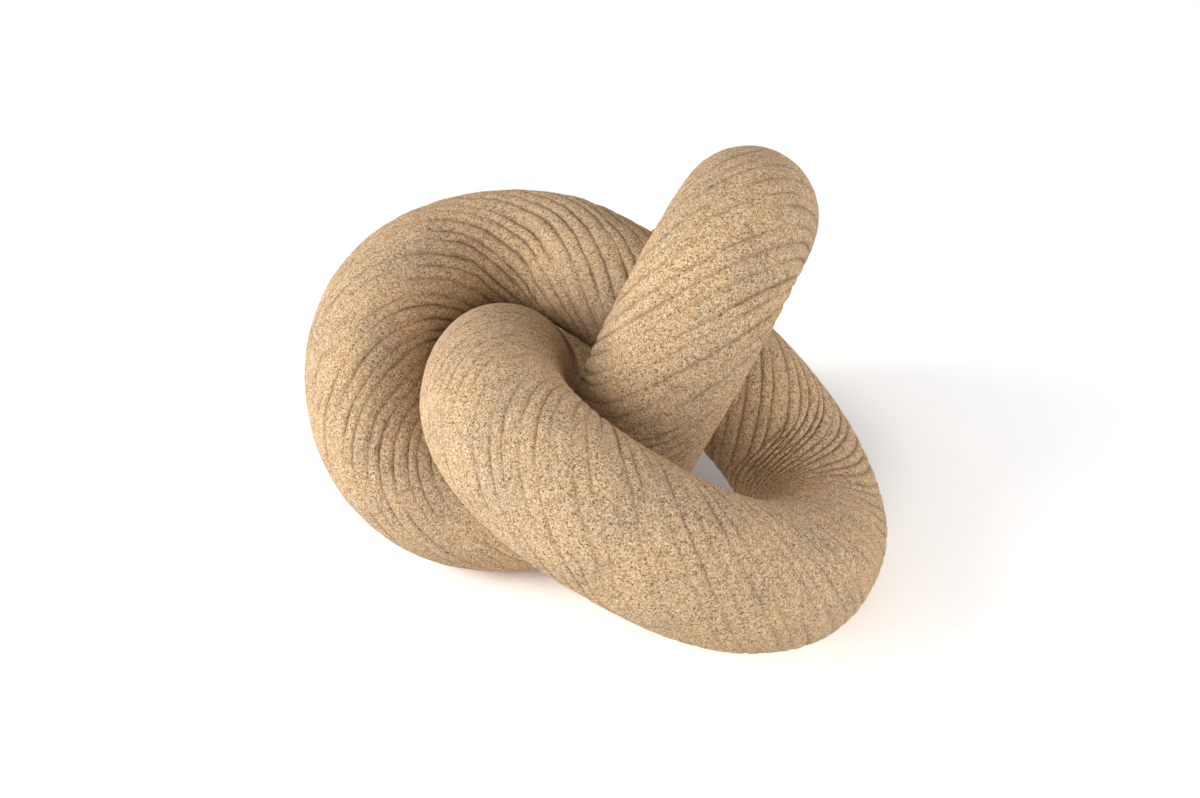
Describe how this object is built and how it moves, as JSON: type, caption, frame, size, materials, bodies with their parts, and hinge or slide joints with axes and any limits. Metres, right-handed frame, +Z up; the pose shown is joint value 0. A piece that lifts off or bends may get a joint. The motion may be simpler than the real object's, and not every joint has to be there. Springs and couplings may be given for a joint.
{
  "type": "knot sculpture",
  "caption": "Tight trefoil knot of thick round strand with a grooved, sandy surface, cast as bends that are pinned end to end; stands on felt pads.",
  "frame": {"origin": "on the surface that the knot stands on, under the middle of its box", "axes": "+Z up, +X to the right and +Y away in the picture's view; Y is the longest side of the box and Z the shortest"},
  "size_m": [0.223, 0.269, 0.1649],
  "materials": {
    "sandy_stone": "dry, matt, coarse sand grain with fine dark grooves round the strand",
    "dowel_steel": "bright drawn bar",
    "felt": "dense pressed felt"
  },
  "bodies": {
    "root": {"front_strand": "sandy_stone", "right_lobe_front": "sandy_stone", "right_lobe_rear": "sandy_stone", "far_strand": "sandy_stone", "left_lobe_rear": "sandy_stone", "left_lobe_crown": "sandy_stone", "left_lobe_front": "sandy_stone", "under_strand": "sandy_stone", "upright_lobe_front": "sandy_stone", "upright_lobe_rear": "sandy_stone", "rear_lobe": "sandy_stone", "inner_strand": "sandy_stone", "front_strand_dowels": "dowel_steel", "right_lobe_front_dowels": "dowel_steel", "right_lobe_rear_dowels": "dowel_steel", "far_strand_dowels": "dowel_steel", "left_lobe_rear_dowels": "dowel_steel", "left_lobe_crown_dowels": "dowel_steel", "left_lobe_front_dowels": "dowel_steel", "under_strand_dowels": "dowel_steel", "upright_lobe_front_dowels": "dowel_steel", "upright_lobe_rear_dowels": "dowel_steel", "rear_lobe_dowels": "dowel_steel", "inner_strand_dowels": "dowel_steel", "right_foot_pad": "felt", "left_foot_pad": "felt", "rear_foot_pad": "felt"}
  },
  "joints": []
}
